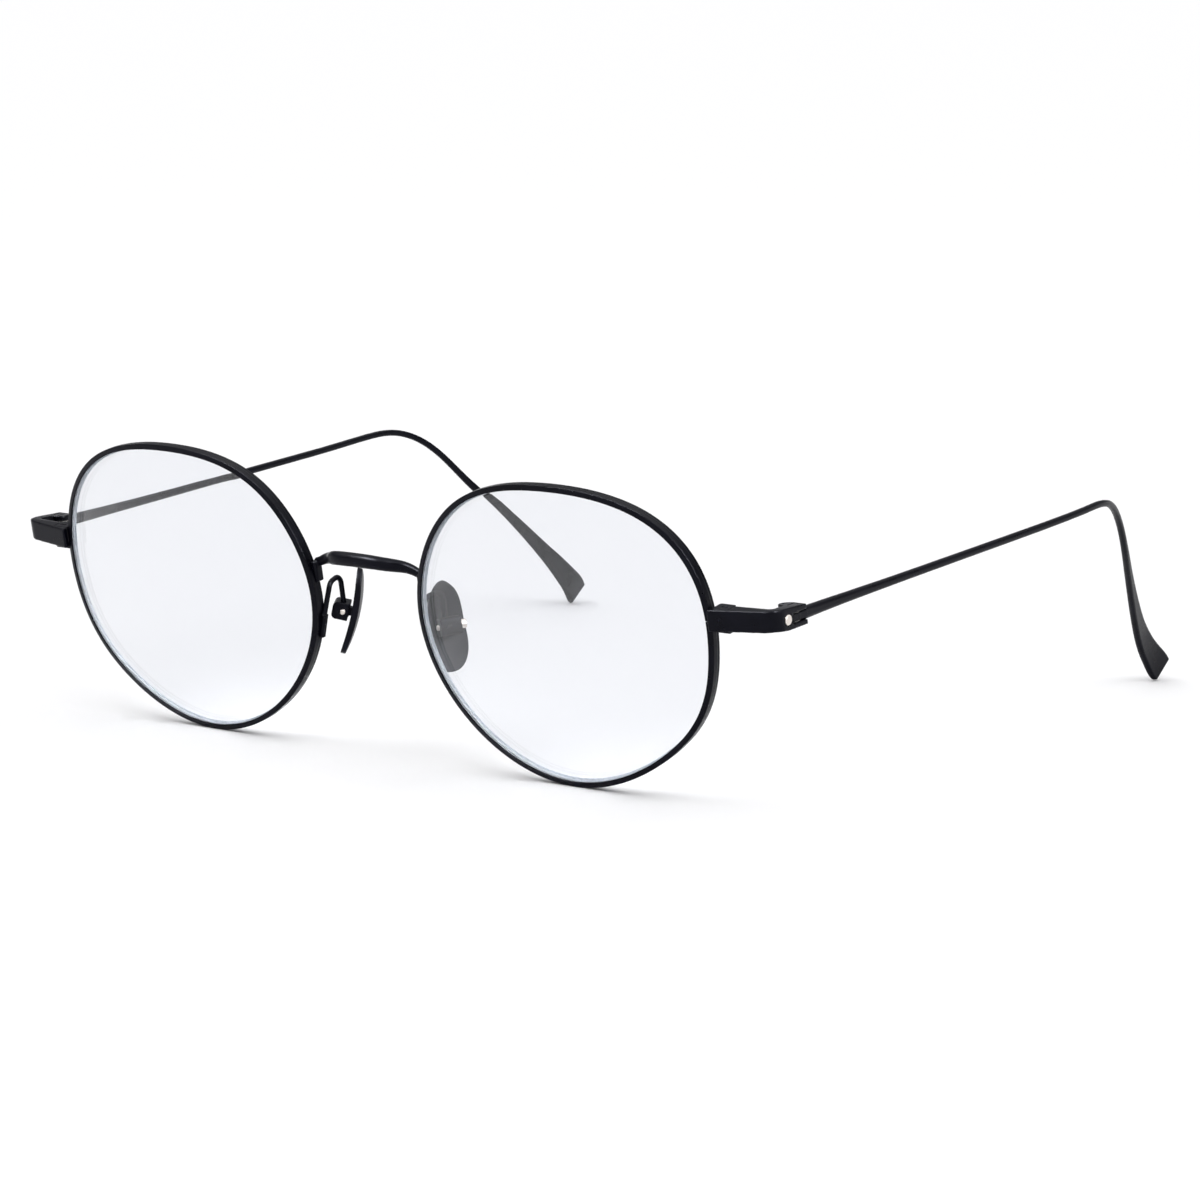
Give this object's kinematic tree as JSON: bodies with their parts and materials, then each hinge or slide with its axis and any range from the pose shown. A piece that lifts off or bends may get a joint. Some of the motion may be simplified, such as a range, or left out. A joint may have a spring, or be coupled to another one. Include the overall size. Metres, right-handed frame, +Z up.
{
  "type": "eyeglasses",
  "caption": "Round full-rim wire eyeglasses with clear lenses, rocking nose pads on gooseneck arms and folding slim temples with flattened tips.",
  "frame": {"origin": "on the table, under the middle of the glasses standing open on the two rims and the two temple tips", "axes": "+X to the wearer's left, +Y back towards the ears, +Z up"},
  "size_m": [0.1452, 0.1352, 0.0449],
  "materials": {
    "black_metal": "matte black coating on thin titanium, with a soft satin sheen",
    "pad_metal": "satin dark grey coating on a thin metal pad",
    "bare_metal": "bare turned metal, lightly brushed",
    "washer_plastic": "plain pale nylon",
    "clear_lens": "clear polished lens with a very faint cool tint and a frosted ground edge"
  },
  "bodies": {
    "front": {"bridge": "black_metal", "left_rim": "black_metal", "left_lens": "clear_lens", "right_rim": "black_metal", "right_lens": "clear_lens", "left_end_piece": "black_metal", "right_end_piece": "black_metal", "left_closing_block_upper": "black_metal", "right_closing_block_upper": "black_metal", "left_closing_block_lower": "black_metal", "right_closing_block_lower": "black_metal", "left_closing_screw": "black_metal", "right_closing_screw": "black_metal", "left_stud": "bare_metal", "right_stud": "bare_metal", "left_hinge_screw": "bare_metal", "right_hinge_screw": "bare_metal", "left_hinge_washers": "washer_plastic", "right_hinge_washers": "washer_plastic", "left_pad_arm": "black_metal", "right_pad_arm": "black_metal", "left_pad_box": "black_metal", "right_pad_box": "black_metal", "left_pad_screw": "bare_metal", "right_pad_screw": "bare_metal"},
    "left_temple": {"left_temple": "black_metal"},
    "right_temple": {"right_temple": "black_metal"},
    "left_nose_pad": {"left_nose_pad": "pad_metal", "left_pad_tab": "pad_metal"},
    "right_nose_pad": {"right_nose_pad": "pad_metal", "right_pad_tab": "pad_metal"}
  },
  "joints": [
    {"name": "left_temple_fold", "type": "hinge", "parent": "front", "child": "left_temple", "pos_m": [0.0702, -0.05534, 0.02829], "axis": [0, -0.0724, 0.9974], "range_deg": [0, 85]},
    {"name": "right_temple_fold", "type": "hinge", "parent": "front", "child": "right_temple", "pos_m": [-0.0702, -0.05534, 0.02829], "axis": [0, 0.0724, -0.9974], "range_deg": [0, 80]},
    {"name": "left_pad_rock", "type": "hinge", "parent": "front", "child": "left_nose_pad", "pos_m": [0.0107, -0.05594, 0.02079], "axis": [0.5526, 0.8254, 0.1155], "range_deg": [-8, 8]},
    {"name": "right_pad_rock", "type": "hinge", "parent": "front", "child": "right_nose_pad", "pos_m": [-0.0107, -0.05594, 0.02079], "axis": [-0.5526, 0.8254, 0.1155], "range_deg": [-8, 8]}
  ]
}
